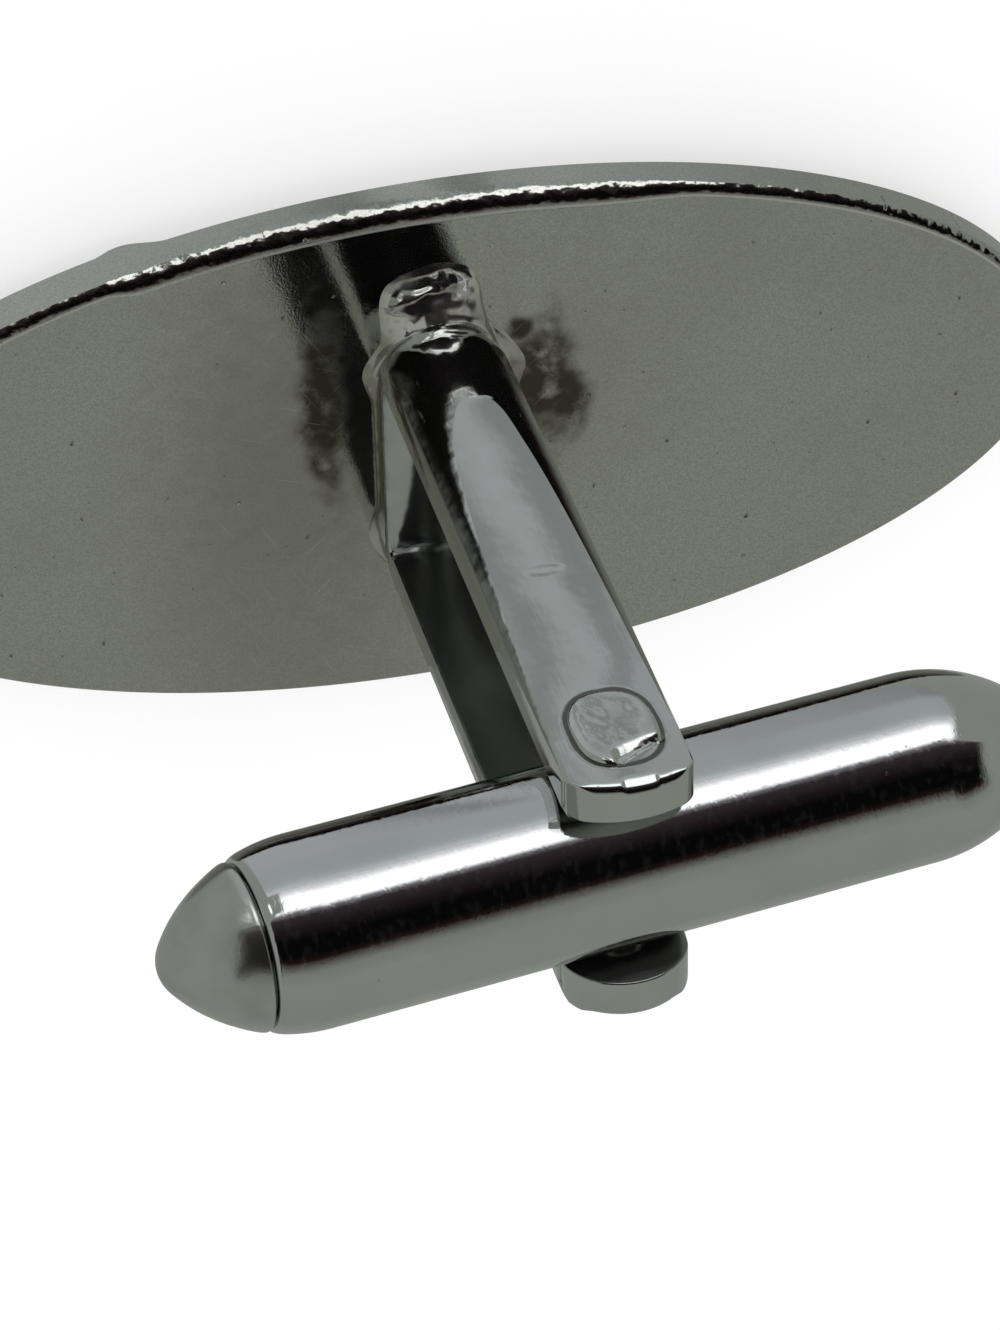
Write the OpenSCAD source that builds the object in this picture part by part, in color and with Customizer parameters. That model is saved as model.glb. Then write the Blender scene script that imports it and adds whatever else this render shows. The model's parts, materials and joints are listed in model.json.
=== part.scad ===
// Oval cufflink with a U post and a swivelling bullet toggle.
// The front of the plate lies on z = 0, the post stands up along +z, and the toggle runs along x.

/* [Node to show] */

// Which sub-part is drawn

/* [Face plate] */

// Length of the oval, along x
plate_l = 28.7; // [26:0.1:33]
// Width of the oval, along y
plate_w = 12.7; // [11.5:0.1:15]
// Thickness from the raised field on the front to the flat back
plate_t = 1.85; // [1.6:0.05:2.4]
// Thickness of the plain rim
rim_t = 1; // [0.8:0.05:1.15]
// Width of the sloping shoulder between the rim and the field
shoulder_w = 1.3; // [0.8:0.05:1.8]
// Rounding of the rear edge
back_round = 0.32; // [0.1:0.02:0.4]
// Distance from the middle of the plate to the raised bar on the front
bar_off = 6.6; // [5.5:0.1:9]
// Width of the raised bar
bar_w = 0.9; // [0.8:0.05:1.8]
// Depth of the half-round bar beside its grooves
bar_h = 0.35; // [0.2:0.01:0.45]
// Width of the groove on each side of the bar
groove_w = 0.35; // [0.2:0.01:0.6]
// Thickness of the rim where the bar crosses it
bar_rim_t = 1.4; // [1.3:0.01:1.55]
// Thickness of the rim round the end panel, beyond the bar
panel_rim_t = 1.2; // [1:0.05:1.3]

/* [Post] */

// Width of the half-round strip that the post is bent from
strip_w = 2.7; // [2.4:0.02:3]
// Height of the flat sides of the strip
strip_side = 0.75; // [0.6:0.01:0.9]
// Full thickness of the strip at its crown
strip_crown = 1.5; // [1.3:0.01:1.7]
// Thickness left under the flat where the pin goes through
leg_t = 0.92; // [0.85:0.01:1.1]
// Thickness left under the flat half way up the leg
leg_mid_t = 1.08; // [1:0.01:1.25]
// Height above the back at which the flat starts
flat_low = 3.4; // [2.5:0.1:4.5]
// Height above the back at which the flat bends
flat_mid = 8.2; // [6:0.1:9.5]
// Inside radius of the two bends
bend_r = 0.35; // [0.2:0.01:0.5]
// Height of the inside of the base above the back
base_h = 0.8; // [0.65:0.01:0.9]
// Height of the pin above the back of the plate
pivot_h = 14.67; // [13:0.05:16]
// Length of the leg beyond the middle of the pin
tip_len = 1.78; // [1.5:0.01:2.2]
// Radius of the arc across the end of the leg
tip_arc_r = 2.2; // [1.8:0.05:4]
// Radius of the rounded corners beside that arc
tip_corner_r = 0.75; // [0.3:0.01:1]
// Rounding between the flat and the end of the leg
tip_round = 0.16; // [0.05:0.01:0.25]

/* [Toggle] */

// Outside diameter of the toggle
tog_d = 4; // [3.8:0.02:4.3]
// Length of the toggle, tip to tip
tog_l = 19.5; // [18.4:0.1:20.5]
// Length of each rounded nose
nose_l = 3.15; // [2.8:0.05:3.8]
// Radius of the very tip
tip_r = 0.85; // [0.6:0.01:1.1]
// Wall of the tube
tube_wall = 0.35; // [0.3:0.01:0.4]
// Length of the separate end cap that shows
cap_l = 1.9; // [1.5:0.01:2.2]
// Length of the plug that holds the cap
plug_l = 1.1; // [0.8:0.05:1.3]
// Turn of the toggle about its pin from square, in degrees
swing = 7.4; // [0:0.1:12]

/* [Pin and spring] */

// Diameter of the pin
pin_d = 1.4; // [1.2:0.02:1.5]
// Diameter of its two peened heads
head_d = 2; // [1.8:0.01:2.1]
// Height of the heads
head_h = 0.22; // [0.1:0.01:0.3]
// Width across the flats of the squared middle
square_w = 1; // [0.9:0.01:1.05]
// Length of the squared middle
square_l = 2.9; // [2.2:0.05:3]
// Width of the leaf spring
leaf_w = 2; // [1.6:0.05:2.2]
// Thickness of the leaf spring
leaf_t = 0.2; // [0.15:0.01:0.25]
// Length of the leaf spring
leaf_l = 10.4; // [9:0.1:10.6]

/* [Fits] */

// Gap between each leg and the toggle
side_gap = 0.085; // [0.05:0.005:0.15]
// Running clearance of the tube on the pin, on the radius
run_gap = 0.04; // [0.02:0.005:0.08]
// Clearance of the cap's plug in the tube, on the radius
plug_gap = 0.01; // [0.005:0.005:0.02]

/* [Solder] */

// Radius of the solder spread round the base
pool_r = 2.35; // [2:0.05:2.8]
// Height of the solder above the back
pool_h = 0.42; // [0.3:0.01:0.6]
// Distance from the middle to the outer two spreads
pool_off = 1.75; // [1.2:0.05:2.2]

/* [Hidden] */

$fn = 96;
half = 1 / 2;
right_angle = 90;
half_turn = 180;

// How far cutting shapes run past what they cut
over = plate_t * half;

half_l = plate_l * half;
half_w = plate_w * half;
round_steps = 4;

bar_x = -bar_off;
bar_lo = bar_x - bar_w * half;
bar_hi = bar_x + bar_w * half;
bar_r = (bar_w * bar_w * half * half + bar_h * bar_h) / (bar_h + bar_h);

// Post
leg_in = tog_d * half + side_gap;
leg_out = leg_in + leg_t;
strip_rise = strip_crown - strip_side;
strip_r = (strip_w * strip_w * half * half + strip_rise * strip_rise) / (strip_rise + strip_rise);
base_z = plate_t + base_h;
pivot_z = plate_t + pivot_h;
tip_z = pivot_z + tip_len;
leg_low = base_z + bend_r;
base_half = leg_in - bend_r;
corner_x = strip_w * half - tip_corner_r;
corner_reach = tip_arc_r - tip_corner_r;
corner_rise = sqrt(corner_reach * corner_reach - corner_x * corner_x);
corner_z = tip_z - tip_arc_r + corner_rise;
seat_z = pivot_z - head_d * half - run_gap;
// Reach of the wedge that bounds the end's arc, as a share of the way to a corner's middle
wedge_share = 3;

// Toggle, measured along its own axis from the pin
tog_r = tog_d * half;
tip_s = tog_l * half;
body_s = tip_s - nose_l;
seam_s = tip_s - cap_l;
nose_r = (nose_l * nose_l - (nose_l + nose_l) * tip_r + tog_r * tog_r) / (tog_r + tog_r - tip_r - tip_r);
bore_r = tog_r - tube_wall;

// Pin and spring
pin_r = pin_d * half;
flat_z = square_w * half;
leaf_top = sqrt(bore_r * bore_r - leaf_w * leaf_w * half * half) - run_gap * half;
leaf_half = leaf_l * half;
leaf_rise = leaf_top - flat_z - leaf_t;
leaf_in_r = (leaf_half * leaf_half + leaf_rise * leaf_rise) / (leaf_rise + leaf_rise);
leaf_out_r = leaf_in_r + leaf_t;
leaf_c = flat_z + leaf_out_r;

// Solder
pool_ball = (pool_r * pool_r + pool_h * pool_h) / (pool_h + pool_h);

// Direction square to the oval's edge, where the edge crosses a place along x
function edge_turn(x) = atan2(half_l * sqrt(1 - pow(x / half_l, 2)), half_w * x / half_l);

// Point of the oval whose edge faces a given way, moved in by an inset
function edge_point(turn, inset) =
    let (reach = norm([half_l * cos(turn), half_w * sin(turn)]))
    [
        half_l * half_l * cos(turn) / reach - inset * cos(turn),
        half_w * half_w * sin(turn) / reach - inset * sin(turn)
    ];

// Thickness of the rim at a place along x: plain, under the bar, or round the end panel
function rim_at(x) =
    x > bar_hi + groove_w * half ? rim_t :
    x > bar_lo - groove_w * half ? bar_rim_t :
    panel_rim_t;

// The oval with its sloping shoulder and rounded rear edge, one ring of points for each level
module plate_blank() {
    near_share = 0.25;
    far_share = 0.75;
    stops = [
        0,
        edge_turn(bar_hi + groove_w * far_share),
        edge_turn(bar_hi + groove_w * near_share),
        edge_turn(bar_lo - groove_w * near_share),
        edge_turn(bar_lo - groove_w * far_share),
        half_turn
    ];
    steps = [60, 1, 2, 1, 40];
    upper = [
        for (k = [0 : len(steps) - 1]) for (n = [0 : steps[k] - 1])
            stops[k] + (stops[k + 1] - stops[k]) * n / steps[k]
    ];
    turns = concat(upper, [half_turn], [for (k = [len(upper) - 1 : -1 : 1]) -upper[k]]);
    count = len(turns);
    rings = concat(
        [[shoulder_w, "field"], [0, "rim"]],
        [for (k = [0 : round_steps])
            let (a = right_angle * k / round_steps)
            [back_round * (1 - cos(a)), plate_t - back_round * (1 - sin(a))]
        ]
    );
    points = [
        for (ring = rings) for (turn = turns)
            let (p = edge_point(turn, ring[0]))
            [p[0], p[1], ring[1] == "field" ? 0 : ring[1] == "rim" ? plate_t - rim_at(p[0]) : ring[1]]
    ];
    top = len(rings) - 1;
    sides = [
        for (r = [0 : top - 1]) for (k = [0 : count - 1])
            let (next = (k + 1) % count)
            [r * count + k, (r + 1) * count + k, (r + 1) * count + next, r * count + next]
    ];
    bottom = [for (k = [0 : count - 1]) k];
    back = [for (k = [count - 1 : -1 : 0]) top * count + k];
    polyhedron(points, concat([bottom, back], sides), convexity = 4);
}

module face_plate() {
    color([0.6, 0.6, 0.58])
    difference() {
        plate_blank();
        // What is cut away beside the half-round bar
        difference() {
            translate([bar_lo - groove_w, -plate_w, -over])
                cube([bar_w + groove_w + groove_w, plate_w + plate_w, bar_h + over]);
            translate([bar_x, 0, bar_r])
                rotate([right_angle, 0, 0])
                    cylinder(r = bar_r, h = plate_w + plate_w + plate_w, center = true);
        }
    }
}

// Section of the strip, flat side on the x axis
module strip_section() {
    intersection() {
        translate([0, strip_crown - strip_r]) circle(strip_r);
        translate([-strip_w * half, 0]) square([strip_w, strip_crown]);
    }
}

// One bent half of the post, before its flat is cut
module leg_blank() {
    translate([0, leg_in, leg_low]) linear_extrude(tip_z - leg_low) strip_section();
    translate([0, base_half, leg_low])
        rotate([right_angle, 0, right_angle])
            rotate([0, 0, -right_angle])
                rotate_extrude(angle = right_angle)
                    translate([bend_r, 0]) rotate([0, 0, -right_angle]) strip_section();
    translate([0, 0, base_z])
        rotate([-right_angle, 0, 0])
            linear_extrude(base_half) strip_section();
}

// Side outline of one leg, as y and z
module leg_outline() {
    flat_out = leg_in + strip_crown;
    polygon([
        [-over, plate_t],
        [flat_out + over, plate_t],
        [flat_out + over, plate_t + flat_low * half],
        [flat_out, plate_t + flat_low],
        [leg_in + leg_mid_t, plate_t + flat_mid],
        [leg_out, seat_z],
        [leg_out, tip_z - tip_round],
        [leg_out - tip_round, tip_z],
        [-over, tip_z]
    ]);
    translate([leg_out - tip_round, tip_z - tip_round]) circle(tip_round);
}

// Outline of both legs seen along y: straight sides, rounded corners and an arc across the end
module end_outline() {
    translate([-strip_w * half, 0]) square([strip_w, corner_z]);
    for (x = [-corner_x, corner_x]) translate([x, corner_z]) circle(tip_corner_r);
    translate([0, tip_z - tip_arc_r])
        intersection() {
            circle(tip_arc_r);
            polygon([
                [0, 0],
                [corner_x * wedge_share, corner_rise * wedge_share],
                [-corner_x * wedge_share, corner_rise * wedge_share]
            ]);
        }
}

module u_post() {
    color([0.68, 0.69, 0.7])
    difference() {
        intersection() {
            for (k = [0, 1]) mirror([0, k, 0]) intersection() {
                leg_blank();
                rotate([right_angle, 0, right_angle])
                    linear_extrude(strip_w + over, center = true) leg_outline();
            }
            rotate([right_angle, 0, 0])
                linear_extrude(plate_w, center = true) end_outline();
        }
        translate([0, 0, pivot_z])
            rotate([right_angle, 0, 0])
                cylinder(r = pin_r, h = plate_w, center = true);
    }
}

// Thin round spread of solder
module solder_cap() {
    rotate_extrude($fn = 240)
        intersection() {
            translate([0, pool_h - pool_ball]) circle(pool_ball, $fn = 480);
            square([pool_r + over, pool_h + over]);
        }
}

module solder_joint() {
    color([0.75, 0.75, 0.74])
    difference() {
        union() {
            for (y = [-pool_off, 0, pool_off])
                translate([0, y, plate_t]) solder_cap();
        }
        for (k = [0, 1]) mirror([0, k, 0]) leg_blank();
    }
}

// Everything that turns with the toggle is drawn along x through the origin, then moved here
module at_pivot() {
    translate([0, 0, pivot_z]) rotate([0, swing, 0]) children();
}

// Button head, flat side on the xy plane
module peened_head() {
    rim_h = head_h * half;
    dome_h = head_h - rim_h;
    dome_r = (head_d * head_d * half * half + dome_h * dome_h) / (dome_h + dome_h);
    cylinder(d = head_d, h = rim_h);
    intersection() {
        translate([0, 0, head_h - dome_r]) sphere(r = dome_r);
        cylinder(d = head_d, h = head_h);
    }
}

module pivot_pin() {
    color([0.72, 0.73, 0.74])
    at_pivot() {
        rotate([right_angle, 0, 0]) {
            intersection() {
                cylinder(r = pin_r, h = square_l, center = true);
                cube([square_w, square_w, square_l + over], center = true);
            }
        }
        for (k = [0, 1]) mirror([0, k, 0]) rotate([-right_angle, 0, 0]) {
            translate([0, 0, square_l * half]) cylinder(r = pin_r, h = leg_out - square_l * half);
            translate([0, 0, leg_out]) peened_head();
        }
    }
}

// Half section of one end of the toggle, with everything inside by a wall, from s = 0 to an end
module end_section(wall, last) {
    r = tog_r - wall;
    square([r, body_s]);
    intersection() {
        translate([tog_r - nose_r, body_s]) circle(nose_r - wall);
        translate([0, body_s]) square([tog_r, min(join_at(wall), last) - body_s]);
    }
    if (last > join_at(wall))
        intersection() {
            translate([0, tip_s - tip_r]) circle(tip_r - wall);
            translate([0, join_at(wall)]) square([tog_r, tip_s]);
        }
}

// Where the side arc of the nose meets the tip, for a surface inside the outer one by a wall
function join_at(wall) = body_s + (nose_l - tip_r) * (nose_r - wall) / (nose_r - tip_r);

module toggle_tube() {
    color([0.7, 0.71, 0.72])
    at_pivot()
    difference() {
        rotate([0, right_angle, 0])
            rotate_extrude() {
                difference() {
                    end_section(0, tip_s);
                    end_section(tube_wall, tip_s);
                }
                mirror([0, 1]) difference() {
                    end_section(0, seam_s);
                    end_section(tube_wall, tip_s);
                }
            }
        rotate([right_angle, 0, 0]) cylinder(r = pin_r + run_gap, h = tog_d + over, center = true);
    }
}

module end_cap() {
    plug_in = seam_s - plug_l;
    color([0.66, 0.67, 0.66])
    at_pivot()
    rotate([0, -right_angle, 0])
        rotate_extrude() {
            intersection() {
                end_section(0, tip_s);
                translate([0, seam_s]) square([tog_r, tog_l]);
            }
            intersection() {
                end_section(tube_wall + plug_gap, tip_s);
                translate([0, plug_in]) square([tog_r, plug_l]);
            }
        }
}

module leaf_spring() {
    color([0.5, 0.52, 0.55])
    at_pivot()
    rotate([right_angle, 0, 0])
        linear_extrude(leaf_w, center = true)
            intersection() {
                translate([0, leaf_c]) difference() {
                    circle(leaf_out_r);
                    circle(leaf_in_r);
                }
                translate([-leaf_half, 0]) square([leaf_l, bore_r]);
            }
}

face_plate();
solder_joint();
u_post();
pivot_pin();
toggle_tube();
end_cap();
leaf_spring();
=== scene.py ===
import json
import math

import bmesh
import bpy
from mathutils import Matrix, Vector, noise


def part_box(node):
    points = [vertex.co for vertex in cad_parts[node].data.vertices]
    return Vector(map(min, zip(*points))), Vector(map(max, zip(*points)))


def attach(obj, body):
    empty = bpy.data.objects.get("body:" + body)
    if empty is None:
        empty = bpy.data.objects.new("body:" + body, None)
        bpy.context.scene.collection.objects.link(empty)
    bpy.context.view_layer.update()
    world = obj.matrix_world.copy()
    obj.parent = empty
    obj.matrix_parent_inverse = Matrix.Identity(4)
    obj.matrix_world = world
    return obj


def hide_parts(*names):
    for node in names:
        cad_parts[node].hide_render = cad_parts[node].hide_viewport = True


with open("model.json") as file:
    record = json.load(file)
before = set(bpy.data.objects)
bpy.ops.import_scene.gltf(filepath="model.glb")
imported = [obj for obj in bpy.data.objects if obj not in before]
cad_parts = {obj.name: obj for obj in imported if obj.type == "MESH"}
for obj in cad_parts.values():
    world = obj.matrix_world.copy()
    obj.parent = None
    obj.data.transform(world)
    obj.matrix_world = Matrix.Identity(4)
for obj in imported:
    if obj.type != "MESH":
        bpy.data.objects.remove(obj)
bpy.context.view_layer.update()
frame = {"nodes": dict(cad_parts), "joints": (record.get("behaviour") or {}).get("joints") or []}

# Lengths below are in millimetres, and meshes are scaled to metres as they are made
MM = 0.001
# Too small to see: it keeps points apart, and divisors off zero
TINY = 0.001

# Camera, measured off the photograph: where it stands and which way its picture's right and top point
CAMERA_AT = Vector((-23.232, 72.188, 102.063))
CAMERA_RIGHT = Vector((0.968, -0.0169, 0.2502))
CAMERA_UP = Vector((0.1647, 0.7954, -0.5833))
CAMERA_LENS = 153.33
CAMERA_SENSOR = 36.0
CAMERA_CLIP = (0.001, 10)


def make_camera():
    data = bpy.data.cameras.new("camera")
    data.lens = CAMERA_LENS
    data.sensor_width = CAMERA_SENSOR
    data.clip_start, data.clip_end = CAMERA_CLIP
    camera = bpy.data.objects.new("camera", data)
    bpy.context.scene.collection.objects.link(camera)
    right = CAMERA_RIGHT.normalized()
    up = (CAMERA_UP - right * CAMERA_UP.dot(right)).normalized()
    back = right.cross(up)
    turn = Matrix((right, up, back)).transposed()
    camera.matrix_world = Matrix.Translation(CAMERA_AT * MM) @ turn.to_4x4()
    bpy.context.scene.camera = camera


# Sizes that the pieces take from the frame


def box_mm(node):
    return [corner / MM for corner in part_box(node)]


PLATE_HALF_L, PLATE_HALF_W, PLATE_T = box_mm("face_plate")[1]
STRIP_HALF, CROWN_OUT, TIP_Z = box_mm("u_post")[1]
PIVOT = Vector(frame["joints"][0]["pos_m"]) / MM
SWING = math.radians(7.4)
BAR_X = -6.6
at_rest = Matrix.Translation(PIVOT) @ Matrix.Rotation(SWING, 4, "Y")


def along_toggle(node):
    """Lowest and highest corner of a node in the toggle's own frame, whose x runs along it from the pin."""
    back = at_rest.inverted()
    corners = [back @ (v.co / MM) for v in frame["nodes"][node].data.vertices]
    return [[pick(c[k] for c in corners) for k in range(3)] for pick in (min, max)]


tube_low, tube_high = along_toggle("toggle_tube")
TOGGLE_R = tube_high[1]
SEAM = -tube_low[0]
TOGGLE_END = tube_high[0]
PLUG_IN = -along_toggle("end_cap")[1][0]

# Strip that the post is bent from, and what filing leaves of it at the pin
STRIP_SIDE = 0.75
STRIP_CROWN = 1.5
LEG_IN = CROWN_OUT - STRIP_CROWN
LEG_OUT = LEG_IN + 0.92
BEND_R = 0.35
BASE_Z = PLATE_T + 0.8
FLAT_STARTS = PLATE_T + 3.4

# Pin and its peened heads
PIN_R = 0.7
PIN_CLEARANCE = 0.04
SQUARE_HALF = 0.5
SQUARE_END = 1.45
HEAD_HALF_X = 0.89
HEAD_HALF_Z = 1.18
HEAD_SHIFT = Vector((0.03, -0.09))
HEAD_POWER = 2.5
HEAD_PROUD = 0.13


def boundary(low, high, steps, is_before):
    """Halves a stretch again and again, and gives the two sides of the place where a test stops holding."""
    for _ in range(steps):
        middle = (low + high) / 2
        if is_before(middle):
            low = middle
        else:
            high = middle
    return low, high


def smooth(low, high, value):
    """Smooth step from 0 to 1 as the value goes from low to high."""
    share = min(max((value - low) / (high - low), 0), 1)
    return share * share * (3 - 2 * share)


def bump(away, width, power=2):
    """Soft hump that is 1 in its middle and fades out over a width to each side."""
    return math.exp(-((away / width) ** power))


def spread(low, high, count):
    """Evenly spaced values from low up to, but without, high."""
    return [low + (high - low) * k / count for k in range(count)]


def uneven(point, size, seed):
    """Smooth noise from -1 to 1, with bumps of about the given size."""
    return noise.noise(Vector(point) / size + Vector((seed, seed * 1.7, -seed)))


def head_reach(x, z):
    """Distance from the middle of a head, where 1 is its outline."""
    return (abs(x / HEAD_HALF_X) ** HEAD_POWER + abs(z / HEAD_HALF_Z) ** HEAD_POWER) ** (1 / HEAD_POWER)


def corner_place(x, z):
    """Distance from the pin towards the corner of the head that glancing blows cut."""
    return 0.5 * x + 0.866 * z


# Mesh helpers

SHARP_ANGLE = math.radians(34)
HOLE_SIDES = 96


def mesh_piece(name, points, faces, body, node, material, turn=None):
    """Makes one closed mesh, which rides on a body and stands for a CAD node."""
    mesh = bpy.data.meshes.new(name)
    placed = [(turn @ Vector(p) if turn else Vector(p)) * MM for p in points]
    mesh.from_pydata(placed, [], faces)
    work = bmesh.new()
    work.from_mesh(mesh)
    bmesh.ops.recalc_face_normals(work, faces=work.faces)
    if work.calc_volume(signed=True) < 0:
        bmesh.ops.reverse_faces(work, faces=work.faces)
    work.to_mesh(mesh)
    work.free()
    piece = bpy.data.objects.new(name, mesh)
    bpy.context.scene.collection.objects.link(piece)
    mesh.materials.append(material)
    shade(piece)
    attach(piece, body)
    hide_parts(node)
    return piece


def shade(piece):
    """Smooth shading that keeps sharp edges, and lets large flats keep theirs beside small rounds."""
    for polygon in piece.data.polygons:
        polygon.use_smooth = True
    piece.data.set_sharp_from_angle(angle=SHARP_ANGLE)
    if "flats" not in piece.modifiers:
        flats = piece.modifiers.new("flats", "WEIGHTED_NORMAL")
        flats.keep_sharp = True


def sharpen(piece, test):
    """Marks as sharp each edge that has both its ends where the test holds."""
    mesh = piece.data
    on_line = [test(*(v.co / MM)) for v in mesh.vertices]
    if "sharp_edge" not in mesh.attributes:
        mesh.attributes.new("sharp_edge", "BOOLEAN", "EDGE")
    marks = mesh.attributes["sharp_edge"].data
    for edge in mesh.edges:
        a, b = edge.vertices
        if on_line[a] and on_line[b]:
            marks[edge.index].value = True


def drill(piece, radius):
    """Cuts the pin's round hole along y."""
    bpy.ops.mesh.primitive_cylinder_add(vertices=HOLE_SIDES, radius=radius * MM, depth=4 * LEG_OUT * MM)
    tool = bpy.context.object
    tool.matrix_world = Matrix.Translation(PIVOT * MM) @ Matrix.Rotation(math.pi / 2, 4, "X")
    bpy.context.view_layer.update()
    cut = piece.modifiers.new("hole", "BOOLEAN")
    cut.operation = "DIFFERENCE"
    cut.object = tool
    piece.modifiers.move(len(piece.modifiers) - 1, 0)
    with bpy.context.temp_override(object=piece, active_object=piece, selected_objects=[piece]):
        bpy.ops.object.modifier_apply(modifier="hole")
    bpy.data.objects.remove(tool)
    shade(piece)


def loft_faces(ring_count, ring_size, closed=False):
    """Quads between rings of points that follow each other in one list."""
    faces = []
    for ring in range(ring_count if closed else ring_count - 1):
        a, b = ring * ring_size, (ring + 1) % ring_count * ring_size
        for k in range(ring_size):
            after = (k + 1) % ring_size
            faces.append((a + k, b + k, b + after, a + after))
    return faces


def joined(rings):
    return [point for ring in rings for point in ring]


def revolve(profile, count, wobble):
    """Turns (place along x, radius) points about x. A radius of zero closes the surface."""
    points, rings = [], []
    for s, r in profile:
        if r == 0:
            rings.append([len(points)] * count)
            points.append((s, 0, 0))
            continue
        rings.append(list(range(len(points), len(points) + count)))
        for k in range(count):
            turn = math.tau * k / count
            grown = r + wobble(s, turn)
            points.append((s, grown * math.cos(turn), grown * math.sin(turn)))
    faces = []
    for before, after in zip(rings, rings[1:]):
        for k in range(count):
            n = (k + 1) % count
            faces.append(list(dict.fromkeys([before[k], after[k], after[n], before[n]])))
    return points, faces


# Plate

PLATE_COLUMNS = 700
PLATE_SHOULDER = 1.3
PLATE_EDGE = 0.06
PLATE_ROUND_STEPS = 14
SHOULDER_STEPS = 12
# Half-round bar across the front, in a groove
BAR_HALF = 0.45
BAR_DEPTH = 0.35
GROOVE_HALF = 0.8
BAR_R = (BAR_HALF**2 + BAR_DEPTH**2) / (2 * BAR_DEPTH)
# Columns on each half of the bar, columns in each groove, and the gap between these and the plain ones
BAR_COLUMNS = 9
GROOVE_COLUMNS = (0.52, 0.6, 0.68, 0.75, GROOVE_HALF - TINY, GROOVE_HALF + TINY)
COLUMN_GAP = 0.02
# Columns of points line up along x as far out as this, so that they follow the bar
ALIGNED_TO = 10.0
ALIGNED_FADE = 2
# Thickness of the rim round the end panel, what the bar adds to it, and what is missing beyond the bar
PANEL_RIM, BAR_SWELL, RIM_STEP = 1.2, 0.13, 0.33
# Places along x between which the rim swells to the bar, and between which it thins beyond it
SWELL_ENDS, THIN_ENDS = (-7.25, -6.75), (-6.65, -5.6)
# Radius of the rear edge, what wear adds to it on the +y side, and what the crisp stretches lose
EDGE_ROUND, EDGE_WORN, EDGE_CRISP = 0.2, 0.32, 0.14
# Distance above the long axis by which the edge is fully worn
WORN_BY = 3
# Places along x between which the edge turns crisp towards each tip, and the turn where its round starts
CRISP_LEFT, CRISP_RIGHT, CRISP_TURN = (-6.4, -7.3), (3.5, 6.2), math.radians(38)


def oval_point(turn, inset):
    """Point of the oval, moved in by an inset, whose edge faces a given way."""
    c, s = math.cos(turn), math.sin(turn)
    reach = math.hypot(PLATE_HALF_L * c, PLATE_HALF_W * s)
    return PLATE_HALF_L**2 * c / reach - inset * c, PLATE_HALF_W**2 * s / reach - inset * s


def oval_turn(x, inset):
    """The way that the oval's edge, moved in by an inset, faces at a place along x."""
    return sum(boundary(0.0, math.pi, 30, lambda turn: oval_point(turn, inset)[0] > x)) / 2


def plate_columns():
    """Places along x from the +x tip to the -x tip, with some on each line of the bar and its groove."""
    places = [PLATE_HALF_L * math.cos(math.pi * k / PLATE_COLUMNS) for k in range(PLATE_COLUMNS + 1)]
    places = [x for x in places if abs(x - BAR_X) > GROOVE_HALF + COLUMN_GAP]
    turns = [math.pi / 2 * k / BAR_COLUMNS for k in range(-BAR_COLUMNS, BAR_COLUMNS + 1)]
    places += [BAR_X + BAR_HALF * math.sin(turn) for turn in turns]
    for side in (-1, 1):
        places += [BAR_X + side * place for place in GROOVE_COLUMNS]
    return sorted(places, reverse=True)


def rim_height(x):
    """Height of the front of the rim, which swells where the bar crosses it."""
    thickness = PANEL_RIM + BAR_SWELL * smooth(*SWELL_ENDS, x) - RIM_STEP * smooth(*THIN_ENDS, x)
    return PLATE_T - thickness


def front_height(x, inset):
    """Height of the front at a place on its field, on its bar or on its sloping shoulder."""
    from_bar = abs(x - BAR_X)
    cut = 0.0
    if from_bar < BAR_HALF:
        cut = BAR_R - math.sqrt(BAR_R**2 - from_bar**2)
    elif from_bar < GROOVE_HALF:
        cut = BAR_DEPTH
    return max(rim_height(x) * (1 - inset / PLATE_SHOULDER), cut)


def rear_edge(turn, side):
    """Radius of the rear edge, and the turn at which it starts. Its worn side is crisp towards the tips."""
    if side < 0:
        return EDGE_ROUND, 0.0
    x, y = oval_point(turn, 0)
    worn = smooth(0, WORN_BY, y)
    crisp = max(smooth(*CRISP_LEFT, x), smooth(*CRISP_RIGHT, x)) * worn
    return EDGE_ROUND + EDGE_WORN * worn - EDGE_CRISP * crisp, CRISP_TURN * crisp


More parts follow.
